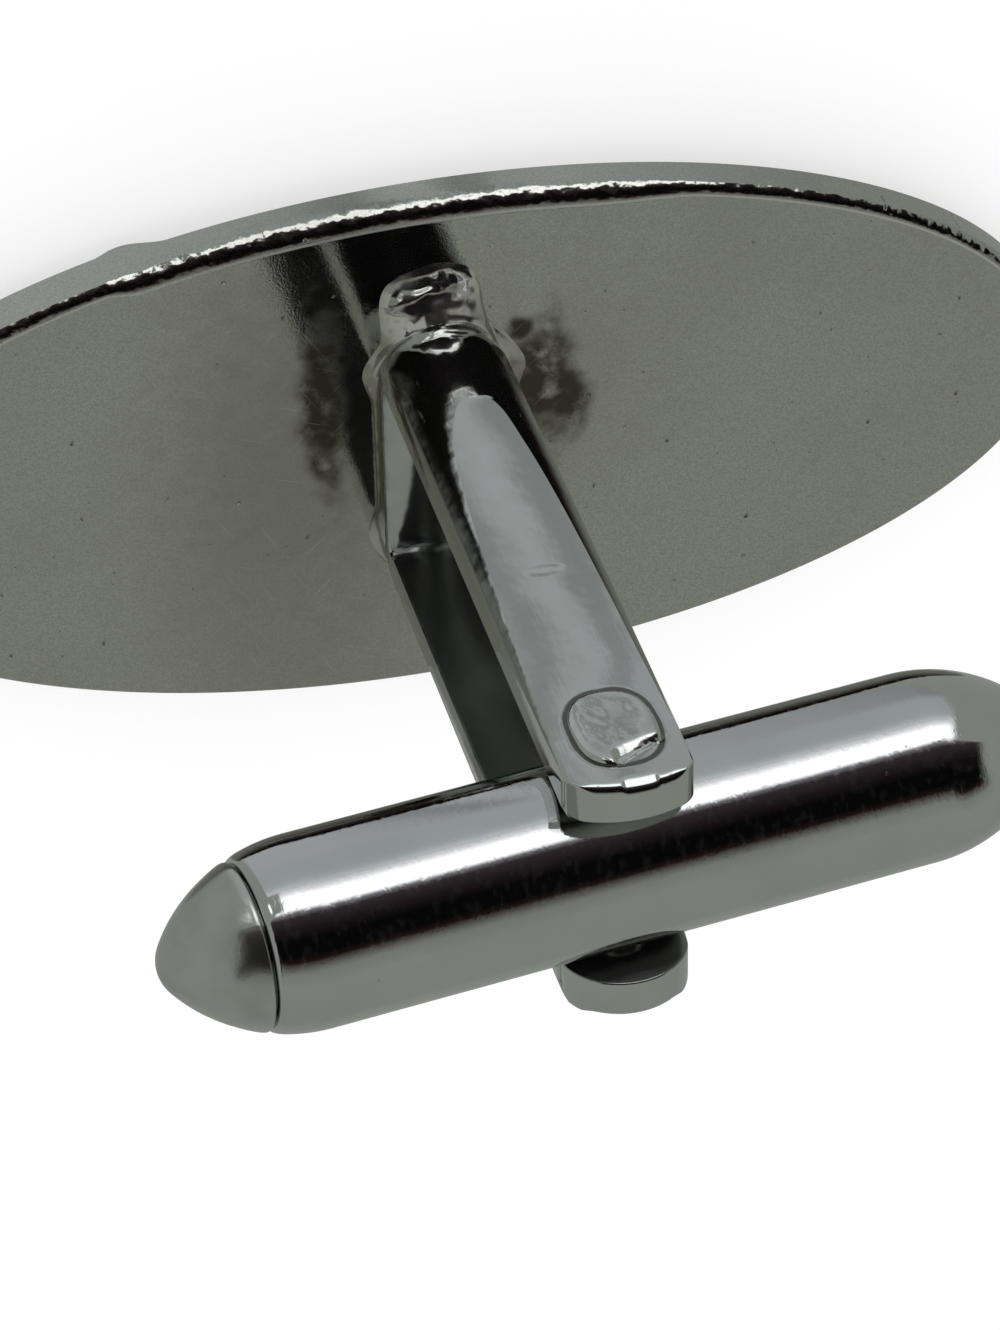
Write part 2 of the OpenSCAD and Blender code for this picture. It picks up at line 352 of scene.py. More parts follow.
def make_plate(material):
    """Oval plate: field, bar and shoulder on the front, and a rounded edge round the flat back."""
    columns = plate_columns()
    turns = [0.0] + [oval_turn(x, 0) for x in columns[1:-1]] + [math.pi]
    count = 2 * len(turns) - 2

    def whole(half, other=None):
        return half + [(x, -y, z) for x, y, z in (other or half)[-2:0:-1]]

    def rounded(turn, share, side):
        radius, first = rear_edge(turn, side)
        a = first + (math.pi / 2 - first) * share
        inset = radius * (math.cos(first) - math.cos(a))
        return *oval_point(turn, inset), PLATE_T - radius * (1 - math.sin(a))

    rings = []
    for inset in [PLATE_SHOULDER * (1 - k / SHOULDER_STEPS) for k in range(SHOULDER_STEPS)] + [PLATE_EDGE]:
        half = []
        for x, turn in zip(columns, turns):
            lined_up = smooth(ALIGNED_TO + ALIGNED_FADE, ALIGNED_TO, abs(x))
            if lined_up:
                turn += (oval_turn(x, inset) - turn) * lined_up
            here = oval_point(turn, inset)
            half.append((*here, front_height(here[0] if lined_up < 1 else x, inset)))
        rings.append(whole(half))
    edge = [oval_point(turn, 0) for turn in turns]
    rings.append(whole([(x, y, rim_height(x) + PLATE_EDGE / 2) for x, y in edge]))
    for share in spread(0, 1, PLATE_ROUND_STEPS) + [1]:
        upper, lower = ([rounded(turn, share, side) for turn in turns] for side in (1, -1))
        rings.append(whole(upper, lower))
    faces = loft_faces(len(rings), count)
    # Strips along y close the front and the back
    for start in (0, (len(rings) - 1) * count):
        for k in range(len(turns) - 1):
            strip = [start + k, start + k + 1, start + (count - k - 1) % count, start + (count - k) % count]
            faces.append(list(dict.fromkeys(strip)))
    mesh_piece("plate", joined(rings), faces, "base", "face_plate", material)


# Post

POST_FLAT_COLUMNS = 40
POST_SIDE_COLUMNS = 9
POST_COLUMNS = POST_FLAT_COLUMNS + 1 + 2 * POST_SIDE_COLUMNS
POST_EDGE = 0.045
TONGUE_HALF = 0.12
FLAT_CROWN = 0.03
FLAT_ROLL = 0.05
FLAT_POWER = 0.62
BASE_CROWN = 0.24
BASE_RISE = 0.08
BEND_SHARP_SHARE = 0.7
END_ZONE = 2.0
TIP_ROUND = 0.22
# Bevel worn on the end's outer edge, and steps round that edge: turn in degrees, and whether past the bevel
TIP_BEVEL = 0.13
TIP_BEVEL_TURN = math.radians(32)
TIP_STEPS = ((10, 0), (20, 0), (32, 0), (32, 1), (45, 1), (58, 1), (70, 1), (80, 1), (90, 1))
# Places across the leg between which that rounding shrinks, and between which each end of the bevel fades
TIP_FADE, BEVEL_LEFT, BEVEL_RIGHT = (0.8, 1.2), (-0.32, -0.2), (0.4, 0.52)
# Rings below the end that are pressed down to make room for it
TIP_PRESSED = 15
# Length of the tongue's tip, how far below the pin the head's rings start, and rings in each stretch
TONGUE_TIP, BY_HEAD = 1.2, 1.6
BASE_RINGS, BEND_RINGS, FOOT_RINGS, TONGUE_TIP_RINGS = 14, 24, 30, 26
TONGUE_RINGS, HEAD_RINGS, END_RINGS = 200, 36, 54
SMALL_ROUND = 0.05
# Depth, place and width of the groove round a pin's head, and of the gouge beside its facet
HEAD_GROOVE, GROOVE_AT, GROOVE_WIDTH = 0.016, 1.02, 0.035
HEAD_GOUGE, GOUGE_AT, GOUGE_WIDTH = 0.06, 0.85, 0.06
# How near to a flat's edge a point counts as on it
ON_EDGE = 0.002
CROWN_R = (STRIP_HALF**2 + (STRIP_CROWN - STRIP_SIDE) ** 2) / (2 * (STRIP_CROWN - STRIP_SIDE))
BEND_Y, BEND_Z = LEG_IN - BEND_R, BASE_Z + BEND_R

# Middle and half size of the small dent on a flat
DENT, DENT_HALF = (0, LEG_OUT + 0.1, 11.2), (0.3, 1, 0.14)
# Radii of the arc across a leg's end and of its corners
FRONT_END = (2.5, 0.62)
BACK_END = (1.5, 1.2)


def crown_at(x):
    return STRIP_CROWN - CROWN_R + math.sqrt(CROWN_R**2 - x * x)


def flat_at(x, z):
    """Thickness that the filed flat leaves at a place. It is slightly crowned and rolls to one side."""
    share = max((min(z, PIVOT.z) - FLAT_STARTS) / (PIVOT.z - FLAT_STARTS), 0)
    depth = (STRIP_CROWN - LEG_OUT + LEG_IN) * share**FLAT_POWER
    roll = FLAT_ROLL * x * smooth(0, 0.15, share) * (1 - smooth(0.75, 1, share))
    return STRIP_CROWN - depth + roll - FLAT_CROWN * (x / STRIP_HALF) ** 2


def flat_edges(z):
    """Places across the strip where the flat meets the crown, at -x and at +x."""
    edges = []
    steps = 20 if z > FLAT_STARTS else 0
    for side in (-1, 1):
        near, far = TONGUE_HALF, STRIP_HALF - 2 * POST_EDGE
        near, far = boundary(near, far, steps, lambda half: crown_at(half) > flat_at(side * half, z))
        edges.append(side * near)
    return edges


def end_height(x, arc_r, corner_r):
    """Height of the rounded end of a leg at a place across it."""
    corner_x = STRIP_HALF - corner_r
    rise = math.sqrt((arc_r - corner_r) ** 2 - corner_x**2)
    x = min(abs(x), STRIP_HALF)
    if x < corner_x * arc_r / (arc_r - corner_r):
        return TIP_Z - arc_r + math.sqrt(arc_r**2 - x * x)
    return TIP_Z - arc_r + rise + math.sqrt(max(corner_r**2 - (x - corner_x) ** 2, 0))


def post_columns(low, high):
    """Places across the strip, from +x to -x, with a column on each edge of its flat."""
    half = STRIP_HALF - POST_EDGE
    shares = [1 - math.cos(math.pi / 2 * k / POST_SIDE_COLUMNS) for k in range(POST_SIDE_COLUMNS)]
    right = [half - (half - high) * share for share in shares]
    left = [-half + (half + low) * share for share in shares]
    middle = [high + (low - high) * k / POST_FLAT_COLUMNS for k in range(POST_FLAT_COLUMNS + 1)]
    return right + middle + left[::-1]


def post_ring(columns, outer, inner, put):
    """One ring of points round the strip, over its outer side, down its -x edge and back."""
    ring = [put(x, outer(x)) for x in columns]
    high = min(STRIP_SIDE, outer(STRIP_HALF)) - POST_EDGE
    side = [high, high / 2, inner(STRIP_HALF) + POST_EDGE]
    ring += [put(-STRIP_HALF, height) for height in side]
    ring += [put(x, inner(x)) for x in reversed(columns)]
    return ring + [put(STRIP_HALF, height) for height in reversed(side)]


def base_ring(y):
    limit = BASE_Z - PLATE_T
    return post_ring(
        post_columns(-TONGUE_HALF, TONGUE_HALF),
        lambda x: min(crown_at(x), limit),
        lambda x: BASE_CROWN * (x / STRIP_HALF) ** 2 - BASE_RISE,
        lambda x, height: (x, y, BASE_Z - height),
    )


def bend_ring(turn):
    limit = (BEND_Z - PLATE_T) / max(math.cos(turn), TINY) - BEND_R
    corner = BEND_R * (1 / max(math.cos(turn), math.sin(turn)) - 1) * BEND_SHARP_SHARE
    fade = 1 - smooth(0.6, 1.5, turn)

    def put(x, height):
        reach = BEND_R + height
        return x, BEND_Y + reach * math.sin(turn), BEND_Z - reach * math.cos(turn)

    return post_ring(
        post_columns(-TONGUE_HALF, TONGUE_HALF),
        lambda x: min(crown_at(x), limit),
        lambda x: (BASE_CROWN * (x / STRIP_HALF) ** 2 - BASE_RISE) * fade + corner,
        put,
    )


def head_groove(x, z):
    """Depth of the groove that peening left in the leg round the head, and of the gouge by its facet."""
    groove = bump(head_reach(x - HEAD_SHIFT.x, z - HEAD_SHIFT.y) - GROOVE_AT, GROOVE_WIDTH)
    deeper = 1 + 0.8 * smooth(0.4, 1.0, z) * smooth(0.3, -0.1, x)
    gouge = bump(corner_place(x, z) - GOUGE_AT, GOUGE_WIDTH)
    beside = smooth(-0.25, 0.0, x) * (1 - smooth(0.85, 1.0, x))
    return HEAD_GROOVE * deeper * groove + HEAD_GOUGE * beside * gouge


def leg_ring(z, end):
    low, high = flat_edges(z)
    start = TIP_Z - END_ZONE

    def outer(x):
        return min(crown_at(x), flat_at(x, z)) if z > FLAT_STARTS else crown_at(x)

    def put(x, height):
        here = z
        if z > start:
            here = start + (end_height(x, *end) - start) * (z - start) / END_ZONE
        if height > 0:
            height -= head_groove(x, here - PIVOT.z)
        return x, LEG_IN + height, here

    return post_ring(post_columns(low, high), outer, lambda x: 0, put)


def post_half(end, bevel_depth):
    """Rings from the middle of the base to the end of one leg."""
    rings = [base_ring(y) for y in spread(0, BEND_Y, BASE_RINGS)]
    rings += [bend_ring(turn) for turn in spread(0, math.pi / 2, BEND_RINGS)]
    past_tip = FLAT_STARTS + TONGUE_TIP
    by_head = PIVOT.z - BY_HEAD
    heights = spread(BEND_Z, FLAT_STARTS, FOOT_RINGS)
    heights += [FLAT_STARTS + (past_tip - FLAT_STARTS) * share**2 for share in spread(0, 1, TONGUE_TIP_RINGS)]
    heights += spread(past_tip, by_head, TONGUE_RINGS)
    heights += spread(by_head, TIP_Z - END_ZONE, HEAD_RINGS)
    heights += spread(TIP_Z - END_ZONE, TIP_Z, END_RINGS) + [TIP_Z]
    rings += [leg_ring(z, end) for z in heights]
    return rings + rounded_end(rings, bevel_depth)


def rounded_end(rings, bevel_depth):
    """Presses the last rings of a leg down and returns more that round off the edge of its end."""
    last = rings[-1]
    radii, bevels = [], []
    for k, (x, _, _) in enumerate(last):
        full = k < POST_COLUMNS
        radii.append(max(TIP_ROUND * (1 - smooth(*TIP_FADE, abs(x))), SMALL_ROUND) if full else SMALL_ROUND)
        bevels.append(bevel_depth * smooth(*BEVEL_LEFT, x) * (1 - smooth(*BEVEL_RIGHT, x)) if full else 0)
    middle_y = (LEG_IN + LEG_OUT) / 2
    added = []
    for turn_degrees, past_bevel in TIP_STEPS:
        turn = math.radians(turn_degrees)
        ring = []
        for (x, y, z), radius, bevel in zip(last, radii, bevels):
            inward = radius * (1 - math.cos(turn)) + past_bevel * bevel * math.sin(TIP_BEVEL_TURN)
            beside = abs(x) > STRIP_HALF - POST_EDGE / 2
            new_x = x - math.copysign(inward, x) if beside else x
            new_y = y if beside else y - math.copysign(inward, y - middle_y)
            down = radius * (1 - math.sin(turn)) + (1 - past_bevel) * bevel * math.cos(TIP_BEVEL_TURN)
            ring.append((new_x, new_y, z - down))
        added.append(ring)
    for back in range(1, TIP_PRESSED + 1):
        share = (TIP_PRESSED + 1 - back) / TIP_PRESSED
        rings[-back] = [
            (x, y, z - (radius + bevel * math.cos(TIP_BEVEL_TURN)) * share)
            for (x, y, z), radius, bevel in zip(rings[-back], radii, bevels)
        ]
    return added


def on_tongue_edge(x, y, z):
    """Whether a point of the post lies where the flat meets the crown."""
    if z < FLAT_STARTS + 0.1 or abs(y) < LEG_IN + SMALL_ROUND:
        return False
    return min(abs(x - edge) for edge in flat_edges(z)) < ON_EDGE


def make_post(material):
    front, back = post_half(FRONT_END, TIP_BEVEL), post_half(BACK_END, 0)
    mirrored = [[(x, -y, z) for x, y, z in ring] for ring in back[1:]]
    rings = mirrored[::-1] + front
    size = len(front[0])
    faces = loft_faces(len(rings), size)
    # Strips of faces close the two ends
    beside = (size - 2 * POST_COLUMNS) // 2
    for start in (0, (len(rings) - 1) * size):
        ring = [start + k for k in range(size)]
        outer = ring[:POST_COLUMNS]
        left = ring[POST_COLUMNS : POST_COLUMNS + beside]
        inner = ring[POST_COLUMNS + beside : 2 * POST_COLUMNS + beside][::-1]
        right = ring[2 * POST_COLUMNS + beside :]
        for k in range(POST_COLUMNS - 1):
            turn_left = left if k == POST_COLUMNS - 2 else []
            turn_right = right if k == 0 else []
            faces.append([outer[k], outer[k + 1], *turn_left, inner[k + 1], inner[k], *turn_right])
    piece = mesh_piece("post", joined(rings), faces, "base", "u_post", material)
    drill(piece, PIN_R)
    sharpen(piece, on_tongue_edge)


# Pin

PIN_AROUND = 120
HEAD_SEAT = 0.06
HEAD_TOP_SHARES = (0.73, 0.68, 0.63, 0.58, 0.53, 0.48, 0.4, 0.3, 0.2, 0.1)
# Rise and width of a head, as shares, from its seat to its middle
HEAD_ROUND = [
    *((0.0, 0.955), (0.35, 0.985), (0.6, 0.97), (0.8, 0.93), (0.9, 0.88), (0.94, 0.83), (0.96, 0.78)),
    *((0.97 + 0.03 * (1 - share), share) for share in HEAD_TOP_SHARES),
]
# Slopes of the facet along x and z, where it starts and ends, and how steeply it drops there
FACET_SLOPES = (0.18, 0.6)
FACET_START, FACET_END, FACET_DROP = 0.34, 0.76, 2.5
# Gap along the pin between its shank and its heads, and the length over which its square turns round
HEAD_GAP, SQUARE_STEP = 0.03, 0.01


def make_pin(material):
    """Squared and round shank with two uneven peened heads."""
    turns = [math.tau * k / PIN_AROUND for k in range(PIN_AROUND)]

    def ring(place, reach_at):
        return [(reach_at(turn) * math.cos(turn), place, reach_at(turn) * math.sin(turn)) for turn in turns]

    def squared(turn):
        return min(SQUARE_HALF / max(abs(math.cos(turn + SWING)), abs(math.sin(turn + SWING))), PIN_R)

    def head_point(side, seed, turn, rise, share):
        c, s = math.cos(turn), math.sin(turn)
        reach = share * (1 + 0.03 * uneven((c, s, 0), 0.9, seed)) / head_reach(c, s)
        x, z = reach * c + HEAD_SHIFT.x, reach * s + HEAD_SHIFT.y
        dent = 0.025 * uneven((x, z, 0), 0.6, seed) + 0.006 * uneven((x, z, 1), 0.22, seed)
        lift = rise * (HEAD_PROUD + HEAD_SEAT) - HEAD_SEAT + dent * (1 - smooth(0.55, 0.85, share))
        facet = FACET_SLOPES[0] * x + FACET_SLOPES[1] * z - FACET_START + 0.012 * uneven((x, z, 2), 0.3, seed)
        place = corner_place(x, z) + 0.04 * uneven((x, z, 3), 0.35, seed)
        cut = HEAD_PROUD - facet - FACET_DROP * max(place - FACET_END, 0)
        if cut < lift:
            lift += (max(cut, -HEAD_SEAT) - lift) * smooth(-0.3, -0.1, x)
        return x, side * (LEG_OUT + lift), z

    def head(side, seed):
        return [[head_point(side, seed, turn, *level) for turn in turns] for level in HEAD_ROUND]

    shank_end = LEG_OUT - HEAD_SEAT - HEAD_GAP
    rings = head(-1, 5.0)[::-1]
    rings += [ring(-shank_end, lambda turn: PIN_R), ring(-SQUARE_END, lambda turn: PIN_R)]
    rings += [ring(-SQUARE_END + SQUARE_STEP, squared), ring(SQUARE_END - SQUARE_STEP, squared)]
    rings += [ring(SQUARE_END, lambda turn: PIN_R), ring(shank_end, lambda turn: PIN_R)]
    rings += head(1, 2.0)
    faces = loft_faces(len(rings), PIN_AROUND)
    for start in (0, (len(rings) - 1) * PIN_AROUND):
        faces.append([start + k for k in range(PIN_AROUND)])
    turn = Matrix.Translation(PIVOT)
    mesh_piece("pin", joined(rings), faces, "base", "pivot_pin", material, turn)


# Toggle

TOGGLE_AROUND = 160
# Steps along the outside of a nose and of the cap, along a nose's inside, the straight tube and the lips
NOSE_STEPS, CAP_STEPS, BORE_STEPS, TUBE_STEPS = 44, 40, 20, 60
LIP_STEPS, CAP_EDGE_STEPS, LIP_START = 14, 6, 0.1
NOSE_LENGTH = 3.15
NOSE_TIP_R = 0.85
TUBE_WALL = 0.35
SEAM_GAP = 0.06
# Width of the rolled lip of the tube and of the worn edge of the cap, and how steeply they turn in
LIP_WIDTH, LIP_SLOPE = 0.24, 0.32
CAP_EDGE_WIDTH, CAP_EDGE_SLOPE = 0.22, 0.24
# Clearance of the plug in the tube, and its chamfer as depth and length
PLUG_GAP = 0.01
PLUG_CHAMFER = (0.08, 0.06)
# Small rounding of both at the seam, as distance from it and drop
SEAM_ROUND = ((0, 0.3), (0, 0.05), (0.01, 0.028), (0.03, 0.01), (0.06, 0))
NOSE_R = (NOSE_LENGTH**2 - 2 * NOSE_LENGTH * NOSE_TIP_R + TOGGLE_R**2) / (2 * (TOGGLE_R - NOSE_TIP_R))
BODY_END = TOGGLE_END - NOSE_LENGTH


def nose_radius(s, wall=0.0):
    """Radius of the toggle, or of a surface a wall inside it, at a distance from its middle."""
    if s <= BODY_END:
        return TOGGLE_R - wall
    join = BODY_END + (NOSE_LENGTH - NOSE_TIP_R) * (NOSE_R - wall) / (NOSE_R - NOSE_TIP_R)
    if s <= join:
        return TOGGLE_R - NOSE_R + math.sqrt((NOSE_R - wall) ** 2 - (s - BODY_END) ** 2)
    centre = TOGGLE_END - NOSE_TIP_R
    return math.sqrt(max((NOSE_TIP_R - wall) ** 2 - (s - centre) ** 2, 0))


def nose_profile(start, wall, steps):
    """Profile from a place on the nose out to its very tip."""
    end = TOGGLE_END - wall
    places = [start + (end - start) * math.sin(math.pi / 2 * k / steps) for k in range(steps)]
    return [(s, nose_radius(s, wall)) for s in places] + [(end, 0)]


def turned_in(away, width, slope):
    """Drop of an edge that turns in ever more towards the seam."""
    return slope / (2 * width) * max(width - away, 0) ** 2


def tube_wave(s, turn):
    """Slight hollows that drawing and polishing leave in thin tube."""
    around = (s * 0.35, 2 * math.cos(turn), 2 * math.sin(turn))
    return 0.006 * (uneven(around, 1.6, 3.0) - 1) * smooth(TOGGLE_END, TOGGLE_END - 1, abs(s))


def make_toggle(material):
    mouth = SEAM - SEAM_GAP / 2
    profile = nose_profile(BODY_END, TUBE_WALL, BORE_STEPS)[::-1]
    profile.append((-BODY_END, TOGGLE_R - TUBE_WALL))
    profile += [(-s, nose_radius(s, TUBE_WALL)) for s in spread(BODY_END, mouth, 5)[1:]]
    outside = [*SEAM_ROUND, *((away, 0) for away in spread(LIP_START, LIP_WIDTH, LIP_STEPS))]
    for away, drop in outside:
        r = nose_radius(mouth - away) - turned_in(away, LIP_WIDTH, LIP_SLOPE) - drop
        profile.append((away - mouth, r))
    profile += [(-s, nose_radius(s)) for s in spread(mouth - LIP_WIDTH, BODY_END, 12)]
    profile += [(s, TOGGLE_R) for s in spread(-BODY_END, BODY_END, TUBE_STEPS)]
    profile += nose_profile(BODY_END, 0, NOSE_STEPS)
    points, faces = revolve(profile, TOGGLE_AROUND, tube_wave)
    piece = mesh_piece("toggle", points, faces, "toggle", "toggle_tube", material, at_rest)
    drill(piece, PIN_R + PIN_CLEARANCE)


def dome_wave(s, turn):
    """Flats and dings on the hand-finished dome of the cap."""
    if s > -SEAM:
        return 0
    reach = nose_radius(-s)
    around = (s, math.cos(turn) * reach, math.sin(turn) * reach)
    return smooth(0, 1, reach) * (0.014 * uneven(around, 1.1, 8.0) + 0.004 * uneven(around, 0.35, 9.0))


def make_cap(material):
    rim = SEAM + SEAM_GAP / 2
    fit = TUBE_WALL + PLUG_GAP
    chamfer_r, chamfer_l = PLUG_CHAMFER
    plug_r = nose_radius(PLUG_IN, fit)
    profile = [(-PLUG_IN, 0), (-PLUG_IN, plug_r - chamfer_r), (-PLUG_IN - chamfer_l, plug_r)]
    profile += [(-s, nose_radius(s, fit)) for s in spread(PLUG_IN + chamfer_l, rim, 4)[1:]]
    outside = [*SEAM_ROUND, *((away, 0) for away in spread(LIP_START, CAP_EDGE_WIDTH, CAP_EDGE_STEPS))]
    for away, drop in outside:
        r = nose_radius(rim + away) - turned_in(away, CAP_EDGE_WIDTH, CAP_EDGE_SLOPE) - drop
        profile.append((-rim - away, r))
    profile += [(-s, r) for s, r in nose_profile(rim + CAP_EDGE_WIDTH, 0, CAP_STEPS)]
    points, faces = revolve(profile, TOGGLE_AROUND, dome_wave)
    mesh_piece("cap", points, faces, "toggle", "end_cap", material, at_rest)


# Solder

SOLDER_AROUND = 300
SOLDER_HEIGHT = 0.42
SOLDER_REACH = 0.13
SOLDER_RINGS = 22
# Steps to each side of the middle of the post's outline, across its crown and along its side
CROWN_STEPS, SIDE_STEPS = 30, 10
# Feet of the splash and of the run on the right, with how far each reaches and its half width
SPLASH, SPLASH_REACH, SPLASH_HALF = Vector((-0.1, 3.2)), 1.35, 0.72
RIGHT_RUN, RIGHT_REACH, RIGHT_HALF = Vector((1.35, 1.6)), 0.45, 0.9
# How far the fillet's inner edges lie under the post, and its outer ones under the plate's skin
UNDER_POST, UNDER_WALL, UNDER_SKIN = 0.04, 0.05, 0.01
# Distance from the post, height and half width of the small collar that the solder froze in
COLLAR_AT, COLLAR_RISE, COLLAR_HALF = 0.15, 0.05, 0.06


def strip_outline(z):
    """Outline of the post where it passes a height just above the plate, as x and y."""
    half = STRIP_HALF - 0.02
    ends = []
    for k in range(-CROWN_STEPS, CROWN_STEPS + 1):
        x = half * math.sin(math.pi / 2 * k / CROWN_STEPS)
        reach = (BEND_R + crown_at(x)) ** 2 - (BEND_Z - z) ** 2
        ends.append(Vector((x, BEND_Y + math.sqrt(max(reach, 0)))))
    side = [Vector((half, ends[-1].y * (1 - k / SIDE_STEPS))) for k in range(1, 2 * SIDE_STEPS)]
    return ends + side + [-p for p in ends] + [-p for p in side]


def even_loop(loop, count):
    """Evenly spaced points along a closed outline."""
    lengths = [0.0]
    for a, b in zip(loop, loop[1:] + loop[:1]):
        lengths.append(lengths[-1] + (b - a).length)
    made = []
    k = 0
    for step in range(count):
        want = lengths[-1] * step / count
        while lengths[k + 1] < want:
            k += 1
        share = (want - lengths[k]) / max(lengths[k + 1] - lengths[k], TINY)
        made.append(loop[k].lerp(loop[(k + 1) % len(loop)], share))
    return made


def outward(loop):
    """Directions square to a closed outline round the origin."""
    made = []
    for k, here in enumerate(loop):
        along = loop[(k + 4) % len(loop)] - loop[k - 4]
        square = Vector((-along.y, along.x)).normalized()
        made.append(square if square.dot(here) > 0 else -square)
    return made


def solder_reach(foot):
    """How far the solder has run out from a point of the post's foot."""
    here = (*foot, 0)
    reach = SOLDER_REACH + 0.06 * uneven(here, 1.1, 12.0) + 0.03 * uneven(here, 0.4, 13.0)
    reach += smooth(1.2, 2.2, abs(foot.y)) * (0.25 + 0.16 * uneven(here, 1.1, 14.0))
    splash = bump((foot - SPLASH).length, SPLASH_HALF, 4)
    right = bump((foot - RIGHT_RUN).length, RIGHT_HALF)
    return reach + SPLASH_REACH * splash + RIGHT_REACH * right


def solder_lumps(x, y):
    """Uneven height of the solder's skin at a place on the plate."""
    here = (x, y, 0)
    fine = 0.014 * uneven(here, 0.3, 21.0) + 0.004 * uneven(here, 0.13, 22.0)
    near_splash = math.exp(-(((x - SPLASH.x) / 0.8) ** 2) - ((y - SPLASH.y - 0.9) / 0.9) ** 2)
    return fine + near_splash * (0.13 * uneven(here, 0.55, 23.0) + 0.02 * uneven(here, 0.22, 24.0))


def make_solder(material):
    low = even_loop(strip_outline(PLATE_T), SOLDER_AROUND)
    high = even_loop(strip_outline(PLATE_T + SOLDER_HEIGHT), SOLDER_AROUND)
    away = outward(low)
    rings = [[(*(p - n * UNDER_POST), PLATE_T - UNDER_SKIN) for p, n in zip(low, away)]]
    for share in spread(0, 1, SOLDER_RINGS) + [1]:
        ring = []
        for foot, top, n in zip(low, high, away):
            start = top - n * UNDER_WALL
            spot = start + (foot + n * solder_reach(foot) - start) * share
            from_post = (spot - top).dot(n)
            slope = SOLDER_HEIGHT * (1 - share) ** 1.7 * (1 + 0.12 * uneven((*foot, 0), 0.7, 31.0))
            collar = COLLAR_RISE * bump(from_post - COLLAR_AT, COLLAR_HALF)
            skin = (solder_lumps(*spot) + 0.035) * smooth(0, 0.2, share)
            edge = smooth(0, 0.12, 1 - share)
            height = slope + (collar + skin) * edge
            ring.append((*spot, PLATE_T + max(height, 0.0) - UNDER_SKIN * (1 - edge)))
        rings.append(ring)
    rings.append([(*(p + n * solder_reach(p) * 0.97), PLATE_T - 2 * UNDER_SKIN) for p, n in zip(low, away)])
    faces = loft_faces(len(rings), SOLDER_AROUND, closed=True)
    mesh_piece("solder_fillet", joined(rings), faces, "base", "solder_joint", material)


# Shader helpers


